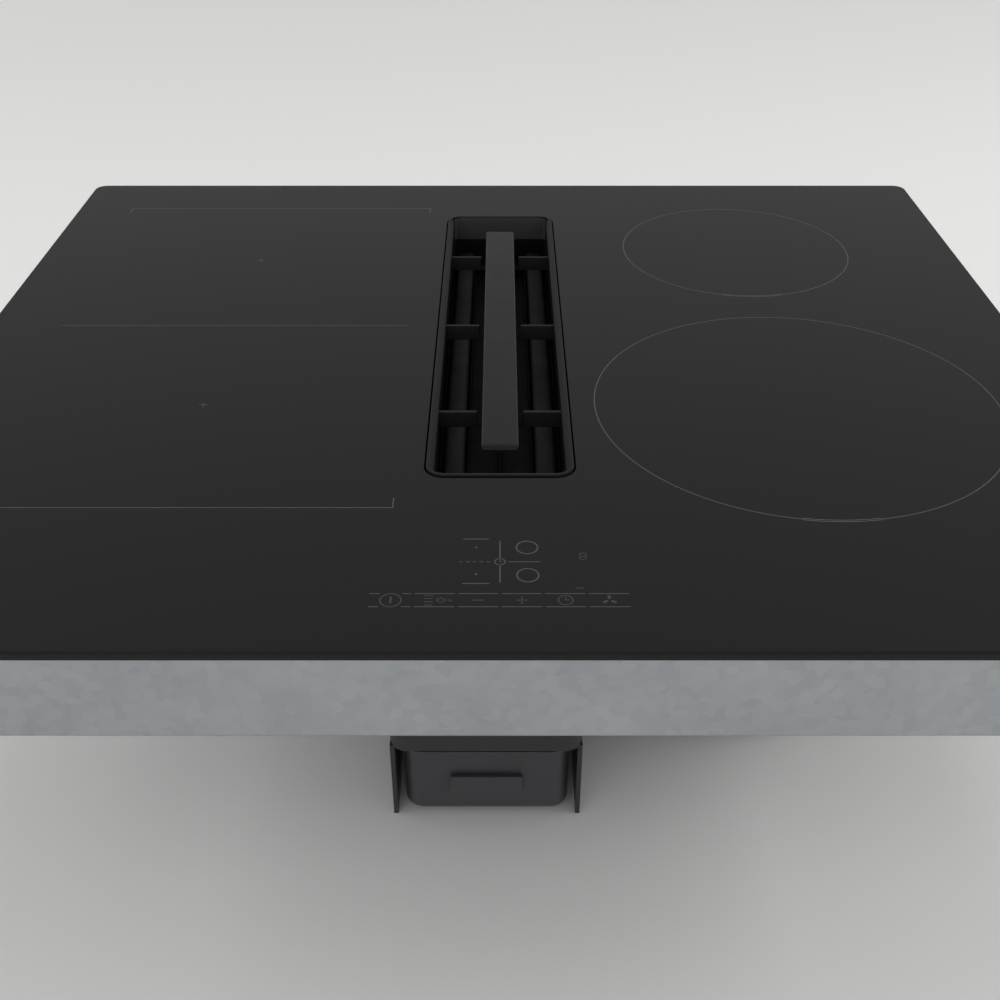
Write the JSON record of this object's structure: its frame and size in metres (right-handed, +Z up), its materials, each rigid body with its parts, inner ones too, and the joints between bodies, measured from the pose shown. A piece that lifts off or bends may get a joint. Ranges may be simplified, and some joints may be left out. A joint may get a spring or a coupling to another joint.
{
  "type": "downdraft induction cooktop",
  "caption": "Built-in induction cooktop with black glass, touch panel and a centre slot extractor whose blower and flat duct hang below the pan.",
  "frame": {"origin": "middle of the glass plate in plan, at the worktop surface that the seal rests on", "axes": "+X to the user's right, +Y to the back, +Z up; the glass is above Z = 0, the extractor below"},
  "size_m": [0.592, 0.522, 0.224],
  "materials": {
    "glass_ceramic": "polished black glass ceramic",
    "seal_foam": "closed-cell foam",
    "zinc_steel": "zinc-plated sheet",
    "spring_steel": "bright spring steel",
    "screw_steel": "zinc-plated",
    "grille_plastic": "fine-textured black moulding",
    "filter_metal": "black-coated sheet",
    "housing_plastic": "dark moulded plastic",
    "duct_plastic": "dark moulded plastic",
    "tray_plastic": "smooth moulded plastic",
    "wheel_plastic": "moulded plastic",
    "mica": "pressed mica",
    "copper_winding": "enamelled copper litz",
    "coil_plastic": "heat-proof moulding",
    "ferrite": "sintered ferrite",
    "aluminium_sheet": "mill finish",
    "circuit_board": "solder mask",
    "board_parts": "moulded and sleeved parts",
    "motor_metal": "painted can",
    "bearing_steel": "ground steel",
    "rubber_part": "moulded rubber",
    "gland_plastic": "nylon"
  },
  "bodies": {
    "chassis": {"glass_top": "glass_ceramic", "worktop_seal": "seal_foam", "glass_frame": "zinc_steel", "inlet_shaft": "housing_plastic", "shaft_gasket": "seal_foam", "base_pan": "zinc_steel", "pan_screws": "screw_steel", "spring_clips": "spring_steel", "mica_sheets": "mica", "temperature_sensors": "bearing_steel", "ferrite_bars": "ferrite", "board_standoffs": "coil_plastic", "filter_board": "circuit_board", "control_housing": "housing_plastic", "control_board": "circuit_board", "display_modules": "board_parts", "terminal_cover": "housing_plastic", "terminal_block": "coil_plastic", "cable_gland": "gland_plastic", "plenum_cover": "housing_plastic", "sump": "housing_plastic", "fan_chamber": "housing_plastic", "housing_screws": "screw_steel", "scroll_body": "housing_plastic", "scroll_cover": "housing_plastic", "blower_motor": "motor_metal", "motor_bearings": "bearing_steel", "motor_dampers": "rubber_part", "outlet_duct": "duct_plastic", "blower_control_box": "housing_plastic", "coil_left_front": "copper_winding", "coil_carrier_left_front": "coil_plastic", "coil_left_rear": "copper_winding", "coil_carrier_left_rear": "coil_plastic", "coil_right_front": "copper_winding", "coil_carrier_right_front": "coil_plastic", "coil_right_rear": "copper_winding", "coil_carrier_right_rear": "coil_plastic", "coil_plate_left": "aluminium_sheet", "power_board_left": "circuit_board", "heatsink_left": "aluminium_sheet", "board_components_left": "board_parts", "cooling_fan_housing_left": "housing_plastic", "coil_plate_right": "aluminium_sheet", "power_board_right": "circuit_board", "heatsink_right": "aluminium_sheet", "board_components_right": "board_parts", "cooling_fan_housing_right": "housing_plastic"},
    "drip_tray": {"drip_tray": "tray_plastic"},
    "grease_filter": {"filter_frame": "filter_metal", "upper_baffles": "filter_metal", "lower_baffles": "filter_metal"},
    "grille": {"inlet_grille": "grille_plastic", "grille_bar": "grille_plastic"},
    "overflow_container": {"overflow_container": "tray_plastic"},
    "blower_wheel": {"blower_impeller": "wheel_plastic", "blower_shaft": "bearing_steel"},
    "cooling_rotor_left": {"cooling_rotor_left": "wheel_plastic"},
    "cooling_rotor_right": {"cooling_rotor_right": "wheel_plastic"}
  },
  "joints": [
    {"name": "tray_lift", "type": "slide", "parent": "chassis", "child": "drip_tray", "axis": [0, 0, 1], "range_m": [0, 0.24]},
    {"name": "filter_lift", "type": "slide", "parent": "drip_tray", "child": "grease_filter", "axis": [0, 0, 1], "range_m": [0, 0.12]},
    {"name": "grille_lift", "type": "slide", "parent": "grease_filter", "child": "grille", "axis": [0, 0, 1], "range_m": [0, 0.06]},
    {"name": "overflow_slide", "type": "slide", "parent": "chassis", "child": "overflow_container", "axis": [0, -1, 0], "range_m": [0, 0.3]},
    {"name": "blower_spin", "type": "hinge", "parent": "chassis", "child": "blower_wheel", "pos_m": [0.152, 0.03, -0.18985], "axis": [0, 0, 1], "continuous": true},
    {"name": "cooling_spin_left", "type": "hinge", "parent": "chassis", "child": "cooling_rotor_left", "pos_m": [-0.2089, -0.2055, -0.057], "axis": [0, 0, 1], "continuous": true},
    {"name": "cooling_spin_right", "type": "hinge", "parent": "chassis", "child": "cooling_rotor_right", "pos_m": [0.2089, -0.2055, -0.057], "axis": [0, 0, 1], "continuous": true}
  ]
}
